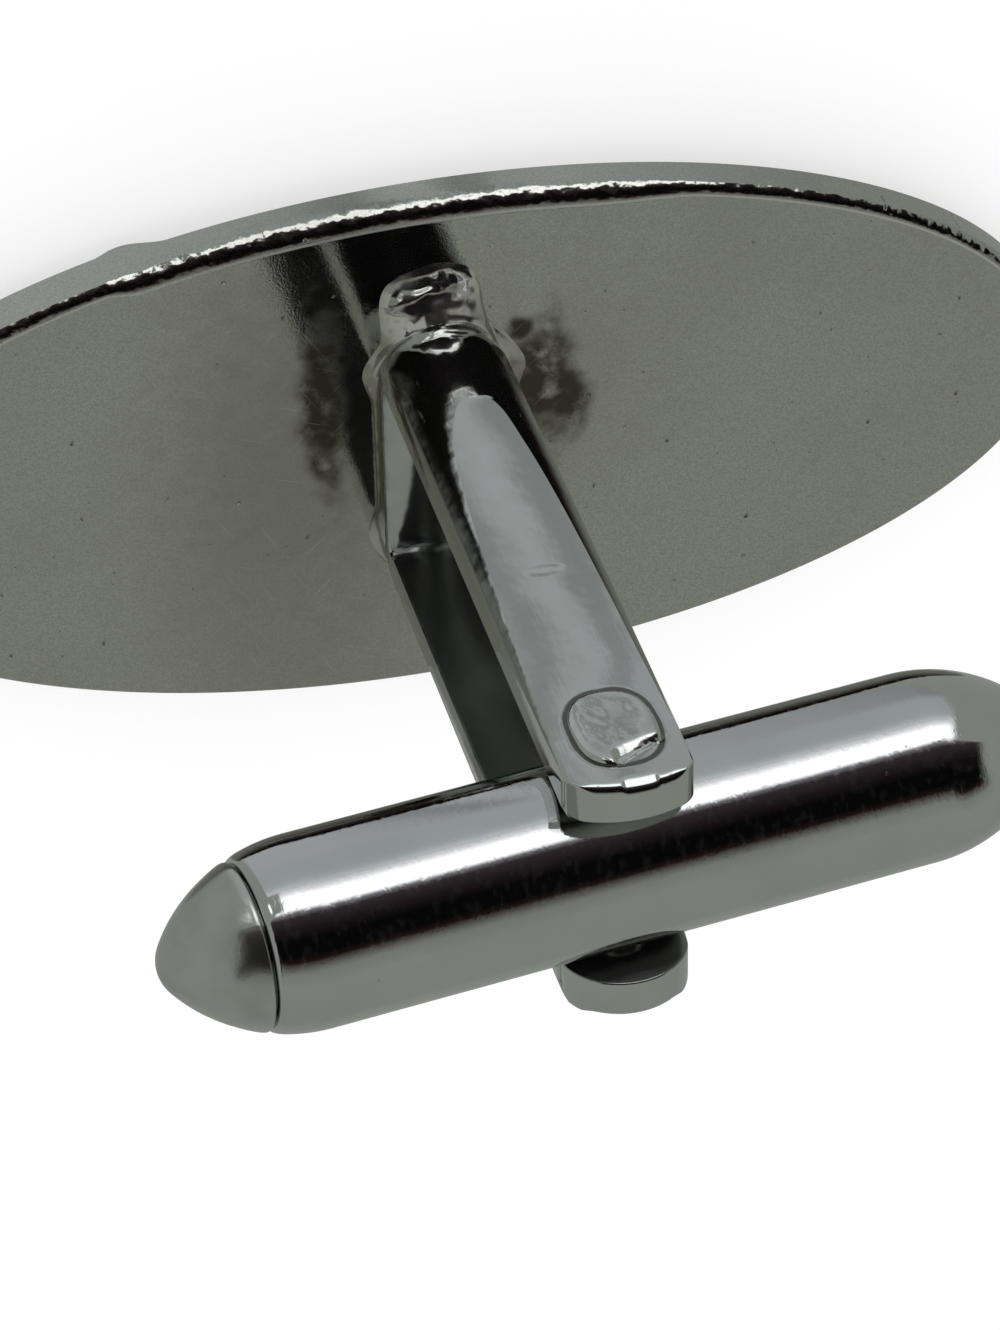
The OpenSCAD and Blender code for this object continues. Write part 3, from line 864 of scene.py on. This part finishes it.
class Nodes:
    """Short calls for making and joining shader nodes."""

    def __init__(self, tree):
        self.tree = tree
        tree.nodes.clear()

    def add(self, kind, settings=None, **inputs):
        node = self.tree.nodes.new(kind)
        for name, value in (settings or {}).items():
            setattr(node, name, value)
        for name, value in inputs.items():
            self.put(node, name.replace("_", " "), value)
        return node

    def put(self, node, name, value):
        socket = node.inputs[int(name) if name.isdigit() else name]
        if isinstance(value, bpy.types.NodeSocket):
            self.tree.links.new(value, socket)
        elif socket.type == "RGBA" and len(value) == 3:
            socket.default_value = (*value, 1)
        else:
            socket.default_value = value

    def math(self, operation, *values):
        node = self.add("ShaderNodeMath", {"operation": operation})
        for index, value in enumerate(values):
            self.put(node, str(index), value)
        return node.outputs[0]

    def plus(self, *shares):
        """Sum of (value, weight) pairs and plain numbers."""
        total = 0.0
        for share in shares:
            if isinstance(share, tuple):
                total = self.math("MULTIPLY_ADD", share[0], share[1], total)
            else:
                total = self.math("ADD", total, share)
        return total

    def times(self, first, *others):
        for other in others:
            first = self.math("MULTIPLY", first, other)
        return first

    def vector(self, operation, *values):
        node = self.add("ShaderNodeVectorMath", {"operation": operation})
        for index, value in enumerate(values):
            self.put(node, "Scale" if operation == "SCALE" and index == 1 else str(index), value)
        return node.outputs["Value" if operation == "LENGTH" else "Vector"]

    def rotate(self, axis, where, angle):
        node = self.add("ShaderNodeVectorRotate", {"rotation_type": axis}, Vector=where, Angle=angle)
        return node.outputs[0]

    def split(self, vector):
        return self.add("ShaderNodeSeparateXYZ", Vector=vector).outputs[:]

    def ramp(self, value, stops):
        node = self.add("ShaderNodeValToRGB", Fac=value)
        elements = node.color_ramp.elements
        while len(elements) < len(stops):
            elements.new(0.5)
        for element, (place, colour) in zip(elements, stops):
            element.position = place
            element.color = (*colour, 1)
        return node.outputs[0]

    def mix(self, share, low, high):
        node = self.add("ShaderNodeMix", {"data_type": "RGBA"})
        self.put(node, "Factor", share)
        for place, value in (("6", low), ("7", high)):
            self.put(node, place, value)
        return node.outputs[2]

    def between(self, value, low, high, start=0.0, stop=1.0):
        """Smooth step from one number to another as the value goes from low to high."""
        node = self.add("ShaderNodeMapRange", {"interpolation_type": "SMOOTHSTEP"}, Value=value)
        for name, number in (("From Min", low), ("From Max", high), ("To Min", start), ("To Max", stop)):
            self.put(node, name, number)
        return node.outputs[0]

    def band(self, value, low, high, soft):
        """Mask that is 1 between two numbers and fades out within a soft width."""
        return self.times(self.between(value, low - soft, low), self.between(value, high + soft, high))

    def place(self, on_toggle=False):
        """Place on the object in millimetres, in the part's frame or in the toggle's own."""
        here = self.add("ShaderNodeTexCoord").outputs["Object"]
        here = self.vector("SCALE", here, 1 / MM)
        if on_toggle:
            here = self.rotate("Y_AXIS", self.vector("SUBTRACT", here, PIVOT), -SWING)
        return here

    def noise(self, where, scale, detail=3.0, stretch=(1, 1, 1)):
        where = self.vector("MULTIPLY", where, stretch)
        return self.add("ShaderNodeTexNoise", Vector=where, Scale=scale, Detail=detail).outputs[0]

    def cells(self, where, scale, radius, kept, dimensions="3D"):
        """Dots of about a radius, in a share of the cells that a scale makes."""
        node = self.add("ShaderNodeTexVoronoi", {"voronoi_dimensions": dimensions}, Vector=where, Scale=scale)
        chosen = self.add("ShaderNodeSeparateColor", Color=node.outputs["Color"]).outputs[0]
        dot = self.between(node.outputs["Distance"], radius, radius * 0.4)
        return self.times(dot, self.math("LESS_THAN", chosen, kept))

    def spot(self, where, centre, radii, soft, wobble=0.0):
        """Mask that is 1 inside an ellipsoid and fades out across its edge."""
        away = self.vector("DIVIDE", self.vector("SUBTRACT", where, centre), radii)
        reach = self.math("ADD", self.vector("LENGTH", away), wobble)
        return self.between(reach, 1 + soft, 1 - soft)

    def metal(self, colour, roughness, height):
        """Bare metal. Its height is in millimetres."""
        shader = self.add("ShaderNodeBsdfPrincipled", Metallic=1.0)
        self.put(shader, "Base Color", colour)
        self.put(shader, "Roughness", roughness)
        self.put(shader, "Normal", self.add("ShaderNodeBump", Height=height, Distance=MM).outputs[0])
        self.put(self.add("ShaderNodeOutputMaterial"), "Surface", shader.outputs[0])


def new_material(name):
    material = bpy.data.materials.new(name)
    material.use_nodes = True
    return material, Nodes(material.node_tree)


# Materials

DARK_STAIN = (0.075, 0.065, 0.048)
# Middle and half size of each flux stain on the back of the plate, along x and y
STAINS = [
    ((2.35, 1.3), (0.72, 1.6)),
    ((2.95, 0.75), (0.5, 0.9)),
    ((1.95, 2.75), (0.36, 0.32)),
    ((-2.55, 1.6), (0.5, 2.2)),
]
# Directions of the fine scratches
SCRATCHES = (0.35, 1.0, -0.75)
# Middle and half size of the painted reflection of the back leg, a wide dark band beside the post
LEG_REFLECTION, LEG_REFLECTION_HALF = (-3.3, -0.8), (2.6, 6.5)
# Middle of the worn press mark on the back
PRESS_MARK = (9.5, -0.06, PLATE_T)


def plate_metal():
    """Satin plated back with flux stains, a darkening round the post's foot, a painted reflection of the back
    leg, pits and scratches, a bright rounded rim with a painted highlight on its worn edge line, and a
    brushed front.
    """
    material, n = new_material("plate_metal")
    here = n.place()
    _, y, z = n.split(here)
    normal_z = n.split(n.add("ShaderNodeNewGeometry").outputs["Normal"])[2]
    broad = n.noise(here, 0.22, 4)
    grain = n.noise(here, 22.0, 2)
    colour = n.mix(n.between(broad, 0.3, 0.7), (0.54, 0.545, 0.515), (0.6, 0.61, 0.58))
    colour = n.mix(n.between(grain, 0.3, 0.75, 0.0, 0.8), colour, (0.42, 0.42, 0.39))
    # Smoky and brown flux stains that the soldering left round the foot of the post, a broad darkening round
    # the foot, and a painted reflection of the back leg as a wide dark band beside the post
    wobble = n.plus((n.noise(here, 1.6, 5), 1.4), -0.7)
    stain = 0.0
    for middle, half_size in STAINS:
        mask = n.spot(here, (*middle, PLATE_T), (*half_size, 1), 0.5, wobble)
        stain = n.math("MAXIMUM", stain, mask)
    stain = n.times(stain, n.between(n.noise(here, 1.7, 4), 0.2, 0.5))
    darker_round_foot = n.spot(here, (0, 1.2, PLATE_T), (4.6, 4.2, 1), 0.55, wobble)
    # Painted reflection of the back leg: a wide dark band beside the post
    leg_reflection = n.spot(here, (*LEG_REFLECTION, PLATE_T), (*LEG_REFLECTION_HALF, 1), 0.75, n.times(wobble, 0.5))
    colour = n.mix(n.plus((darker_round_foot, 0.2), (leg_reflection, 0.5)), colour, (0.30, 0.285, 0.24))
    colour = n.mix(stain, colour, DARK_STAIN)
    bent = n.vector("ADD", here, n.plus((n.noise(here, 5.0, 2), 0.15)))
    pit = n.math("MAXIMUM", n.cells(bent, 0.6, 0.036, 0.4, "2D"), n.cells(bent, 2.3, 0.075, 0.05, "2D"))
    colour = n.mix(n.times(pit, 0.6), colour, (0.16, 0.16, 0.15))
    # Fine scratches in three directions
    marks = 0.0
    for angle in SCRATCHES:
        along = n.rotate("Z_AXIS", here, angle)
        mark = n.between(n.noise(along, 2.4, 2, (0.3, 7, 1)), 0.68, 0.74)
        marks = n.math("MAXIMUM", marks, mark)
    # Faint ripples of a worn press mark on the back
    ripple = n.vector("LENGTH", n.vector("SUBTRACT", here, PRESS_MARK))
    waves = n.times(n.math("SINE", n.times(ripple, 16.0)), n.between(ripple, 1.9, 1.3))
    # The rounded rim is uneven, with a worn line where it starts that is painted lighter as a highlight on
    # the +y side, and the front is brushed
    rim = n.band(normal_z, 0.2, 0.9, 0.1)
    edge = n.times(n.band(normal_z, 0.985, 0.996, 0.004), n.between(y, -1, 1))
    front = n.between(z, 0.03, 0.01)
    colour = n.mix(n.times(marks, 0.16), colour, (0.72, 0.72, 0.69))
    # Painted highlight: the worn line where the rim starts is painted lighter
    colour = n.mix(n.times(edge, 0.8), colour, (0.9, 0.9, 0.88))
    cloudy = n.noise(here, 1.1, 4)
    roughness = n.plus(0.035, (cloudy, 0.04), (stain, 0.3), (marks, 0.06), (front, 0.2), (edge, 0.35))
    height = n.plus(
        (grain, 0.0012),
        (broad, 0.02),
        (waves, 0.00045),
        (pit, -0.03),
        (stain, 0.004),
        (n.times(n.noise(here, 3.2, 1.5), rim), 0.05),
        (n.times(n.noise(here, 6.0, 3, (6, 0.12, 1)), front), 0.008),
    )
    n.metal(colour, roughness, height)
    return material


def post_metal():
    """Bright tumbled plating, with drawn lines, a small dent, grime at the foot where it meets the solder,
    painted shade in the groove round the pin's head, and a darker, rougher inside of the U.
    """
    material, n = new_material("post_metal")
    here = n.place()
    x, y, z = n.split(here)
    side = n.math("ABSOLUTE", y)
    broad = n.noise(here, 0.6, 3)
    lines = n.noise(here, 4.0, 3, (5, 5, 0.3))
    colour = n.mix(n.between(broad, 0.3, 0.7), (0.585, 0.605, 0.59), (0.625, 0.645, 0.64))
    # Grime at the foot where the solder starts, and painted shade darkening the groove round the pin's head
    across = n.math("ABSOLUTE", n.times(n.plus(x, -HEAD_SHIFT.x), 1 / HEAD_HALF_X))
    up = n.math("ABSOLUTE", n.times(n.plus(z, -PIVOT.z - HEAD_SHIFT.y), 1 / HEAD_HALF_Z))
    across, up = n.math("POWER", across, HEAD_POWER), n.math("POWER", up, HEAD_POWER)
    reach = n.math("POWER", n.math("ADD", across, up), 1 / HEAD_POWER)
    reach = n.plus(reach, (n.noise(here, 2.2, 2), 0.05))
    # Painted shade: the groove round the pin's head is darkened as shade
    ring = n.times(n.band(reach, 1.0, 1.08, 0.04), n.math("GREATER_THAN", side, LEG_IN + STRIP_SIDE / 2))
    foot = n.times(n.between(z, PLATE_T + 0.75, PLATE_T + 0.3), n.between(n.noise(here, 2.6, 4), 0.4, 0.6))
    grime_and_groove_shade = n.math("MAXIMUM", ring, foot)
    # Darker and rougher inside the U, less so near the base
    inside = n.between(side, LEG_IN + 0.05, LEG_IN - 0.05)
    dark_inside_u = n.times(inside, n.between(n.noise(here, 0.9, 5, (1, 1, 0.4)), 0.3, 0.65, 0.7, 1.0))
    dark_inside_u = n.times(dark_inside_u, n.between(z, BASE_Z + 0.1, BASE_Z + 0.8, 0.2, 1.0))
    colour = n.mix(dark_inside_u, colour, (0.085, 0.083, 0.07))
    # Darkens the grime at the foot, and paints shade into the groove round the head
    colour = n.mix(n.times(grime_and_groove_shade, 0.85), colour, (0.07, 0.065, 0.055))
    roughness = n.plus(0.045, (lines, 0.05), (dark_inside_u, 0.3), (grime_and_groove_shade, 0.3))
    ragged = n.times(n.noise(here, 1.5, 2, (1, 1, 0.5)), n.between(z, FLAT_STARTS, PLATE_T + 1.2))
    ragged = n.times(ragged, n.between(side, LEG_IN - 0.05, LEG_IN + 0.3))
    dent = n.spot(here, DENT, DENT_HALF, 0.6)
    height = n.plus((lines, 0.0006), (broad, 0.02), (ragged, 0.035), (dent, -0.012))
    n.metal(colour, roughness, height)
    return material


def pin_metal():
    """Peened bright metal, with hammer marks."""
    material, n = new_material("pin_metal")
    here = n.place(on_toggle=True)
    broad = n.noise(here, 1.8, 4)
    colour = n.mix(n.between(broad, 0.35, 0.65), (0.58, 0.595, 0.58), (0.66, 0.68, 0.67))
    height = n.plus((n.noise(here, 9.0, 3), 0.0015), (broad, 0.015))
    n.metal(colour, n.plus(0.03, (broad, 0.1)), height)
    return material


def toggle_metal():
    """Polished plating with fine flecks round the tube and a few specks."""
    material, n = new_material("toggle_metal")
    here = n.place(on_toggle=True)
    flecks = n.between(n.noise(here, 4.0, 4, (1.6, 0.9, 0.9)), 0.5, 0.62)
    fine = n.noise(here, 9.0, 3, (2.2, 0.8, 0.8))
    colour = n.mix(n.between(n.noise(here, 0.5, 3), 0.35, 0.65), (0.6, 0.61, 0.615), (0.635, 0.64, 0.645))
    speck = n.cells(here, 1.7, 0.1, 0.1)
    colour = n.mix(n.times(speck, 0.5), colour, (0.3, 0.3, 0.29))
    roughness = n.plus(0.02, (flecks, 0.075), (speck, 0.2))
    n.metal(colour, roughness, n.plus((fine, 0.0006), (flecks, 0.0006), (speck, -0.002)))
    return material


def cap_metal():
    """Cap with a softer, hand-finished polish than the tube."""
    material, n = new_material("cap_metal")
    here = n.place(on_toggle=True)
    broad = n.noise(here, 0.8, 4)
    fine = n.noise(here, 7.0, 3, (0.8, 1.8, 1.8))
    colour = n.mix(n.between(broad, 0.35, 0.65), (0.52, 0.535, 0.51), (0.6, 0.61, 0.59))
    n.metal(colour, n.plus(0.11, (broad, 0.14), (fine, 0.06)), n.plus((fine, 0.0022), (broad, 0.015)))
    return material


def solder():
    """Soft bright metal that froze in ripples, with flux stain at its edges."""
    material, n = new_material("solder")
    here = n.place()
    blotch = n.between(n.noise(here, 1.2, 4), 0.46, 0.64)
    bright = n.spot(here, (*SPLASH + Vector((0, 0.7)), PLATE_T), (1.0, 1.3, 1.5), 0.35)
    colour = n.mix(blotch, (0.54, 0.535, 0.49), (0.36, 0.345, 0.29))
    colour = n.mix(bright, colour, (0.84, 0.83, 0.81))
    y = n.math("ABSOLUTE", n.split(here)[1])
    colour = n.mix(n.between(y, 2.3, 1.4, 0.0, 0.75), colour, (0.2, 0.19, 0.16))
    roughness = n.plus(0.13, (blotch, 0.12), (bright, -0.03))
    lumps = n.times(n.noise(here, 1.7, 1), n.plus((bright, 0.1), 0.06))
    n.metal(colour, roughness, n.plus(lumps, (n.noise(here, 8.0, 3), 0.002)))
    return material


def spring_steel():
    """Blued strip with rolling lines."""
    material, n = new_material("spring_steel")
    rolled = n.noise(n.place(on_toggle=True), 5.0, 3, (0.15, 3, 1))
    colour = n.mix(rolled, (0.3, 0.31, 0.34), (0.4, 0.4, 0.42))
    n.metal(colour, n.plus(0.25, (rolled, 0.2)), n.plus((rolled, 0.003)))
    return material


# Room and floor

LAMP = (1.7, 1.7, 1.7)
# What the metal sees of the room, by the turn about x from +y over the top, in degrees
ROOM = [
    (-90, (0.30, 0.31, 0.31)),
    (-12, (0.42, 0.45, 0.45)),
    (-6, (0.68, 0.70, 0.70)),
    (0, (0.95, 0.96, 0.97)),
    (6, LAMP),
    (21, LAMP),
    (25, (0.25, 0.24, 0.25)),
    (30, (0.045, 0.034, 0.038)),
    (44, (0.018, 0.012, 0.014)),
    (57, (0.003, 0.003, 0.003)),
    (76, (0.003, 0.003, 0.003)),
    (83, (0.020, 0.010, 0.009)),
    (92, (0.17, 0.17, 0.155)),
    (98, (0.26, 0.272, 0.245)),
    (116, (0.315, 0.328, 0.292)),
    (170, (0.30, 0.31, 0.285)),
    (200, (0.29, 0.30, 0.28)),
    (206, (0.22, 0.225, 0.21)),
    (216, (0.08, 0.08, 0.075)),
    (270, (0.28, 0.29, 0.28)),
]
ROOM_SIDES = (0.31, 0.325, 0.30)
# Left and right ends of the lamp, and of the dark opening above it, as the sideways part of a direction
LAMP_ENDS, OPENING_ENDS = (-0.15, 0.56), (-0.62, 0.8)


def turned(degrees):
    """Share of a full turn, counted from straight down, of an angle of the room."""
    return (degrees + 90) / 360


def make_world():
    world = bpy.data.worlds.new("room")
    bpy.context.scene.world = world
    world.use_nodes = True
    n = Nodes(world.node_tree)
    x, y, z = n.split(n.add("ShaderNodeTexCoord").outputs["Generated"])
    # Shares of a full turn, counted from straight down. The dark opening hangs lower at its sides
    share = n.math("FRACT", n.plus((n.math("ARCTAN2", z, y), 1 / math.tau), 0.25))
    hangs = n.times(n.between(n.math("ABSOLUTE", x), 0.45, 0.6), n.between(share, turned(50), turned(66)))
    share = n.plus((hangs, -12 / 360), share)
    seen = n.ramp(share, [(turned(degrees), colour) for degrees, colour in ROOM])
    # The lamp and the wider dark opening above it end to the left and right, with a small lamp apart
    left = n.between(share, turned(18), turned(31), LAMP_ENDS[0], OPENING_ENDS[0])
    right = n.between(share, turned(23), turned(31), LAMP_ENDS[1], OPENING_ENDS[1])
    past_left = n.between(n.math("SUBTRACT", x, left), 0.02, -0.02)
    past_right = n.between(n.math("SUBTRACT", x, right), -0.05, 0.05)
    seen = n.mix(n.math("MAXIMUM", past_left, past_right), seen, ROOM_SIDES)
    small_lamp = n.times(n.band(x, -0.44, -0.39, 0.035), n.band(share, turned(9), turned(16), 0.014))
    seen = n.mix(small_lamp, seen, LAMP)
    glossy = n.add("ShaderNodeLightPath").outputs["Is Glossy Ray"]
    back = n.add("ShaderNodeBackground", Color=n.mix(glossy, (1, 1, 1), seen))
    n.put(n.add("ShaderNodeOutputWorld"), "Surface", back.outputs[0])


FLOOR_REACH = 0.6
FLOOR_GLOW = 0.55
# Colours of the floor as the metal sees it, and the places along y between which each takes over. The two
# darker bands on the -y side are painted shadow of the part
FLOOR_BRIGHT, FLOOR_LIT = (0.43, 0.462, 0.462), (0.66, 0.70, 0.70)
LIT_BEYOND, NEAR_WITHIN = (40, 180), (26, 16)
FLOOR_BANDS = [
    ((-5, -7), (0.165, 0.168, 0.155)),
    ((-9.5, -11.5), (0.028, 0.022, 0.022)),
    ((-24, -38), (0.29, 0.295, 0.275)),
]
# Tone of the floor close to the part, as the metal sees it, from the light side to the shade of the post
FLOOR_NEAR = [
    (-6.0, 0.47),
    (-4.5, 0.42),
    (-3.4, 0.31),
    (-2.9, 0.33),
    (-2.3, 0.45),
    (-1.8, 0.48),
    (-1.3, 0.46),
    (-0.9, 0.37),
    (-0.6, 0.31),
    (0.0, 0.31),
    (0.5, 0.42),
    (2.0, 0.44),
    (5.5, 0.385),
    (9.8, 0.285),
    (12.0, 0.285),
]


def make_floor():
    bpy.ops.mesh.primitive_plane_add(size=FLOOR_REACH)
    floor = bpy.context.object
    floor.name = "floor"
    material, n = new_material("pale_floor")
    paper = n.add("ShaderNodeBsdfDiffuse", Color=(0.5, 0.5, 0.5))
    glow = n.add("ShaderNodeEmission", Color=(FLOOR_GLOW,) * 3)
    seen = n.add("ShaderNodeAddShader")
    n.put(seen, "0", paper.outputs[0])
    n.put(seen, "1", glow.outputs[0])
    # In the metal, the floor is uneven round the part, and dark where the part hides the lamp
    x, y, _ = n.split(n.place())
    across = n.plus((y, -0.34), x, 0.9)
    low, span = FLOOR_NEAR[0][0], FLOOR_NEAR[-1][0] - FLOOR_NEAR[0][0]
    stops = [((place - low) / span, (0.95 * tone, tone, tone)) for place, tone in FLOOR_NEAR]
    near = n.ramp(n.plus((across, 1 / span), -low / span), stops)
    tone = n.mix(n.between(y, *LIT_BEYOND), FLOOR_BRIGHT, FLOOR_LIT)
    tone = n.mix(n.between(y, *NEAR_WITHIN), tone, near)
    for ends, colour in FLOOR_BANDS:
        tone = n.mix(n.between(y, *ends), tone, colour)
    past_right = n.between(n.plus((y, -0.73), x), 3, 6)
    past_left = n.between(n.plus((y, 0.35), x), -9, -12)
    tone = n.mix(n.math("MAXIMUM", past_left, past_right), tone, ROOM_SIDES)
    dim = n.add("ShaderNodeEmission", Color=tone)
    glossy = n.add("ShaderNodeLightPath").outputs["Is Glossy Ray"]
    pick = n.add("ShaderNodeMixShader", Fac=glossy)
    n.put(pick, "1", seen.outputs[0])
    n.put(pick, "2", dim.outputs[0])
    n.put(n.add("ShaderNodeOutputMaterial"), "Surface", pick.outputs[0])
    floor.data.materials.append(material)


def dress(node, material):
    """Gives a CAD node its material and smooth shading."""
    piece = frame["nodes"][node]
    piece.data.materials.clear()
    piece.data.materials.append(material)
    shade(piece)


make_camera()
make_world()
make_floor()
bpy.context.scene.view_settings.view_transform = "Standard"

make_plate(plate_metal())
dress("leaf_spring", spring_steel())
make_post(post_metal())
make_pin(pin_metal())
make_toggle(toggle_metal())
make_cap(cap_metal())
make_solder(solder())
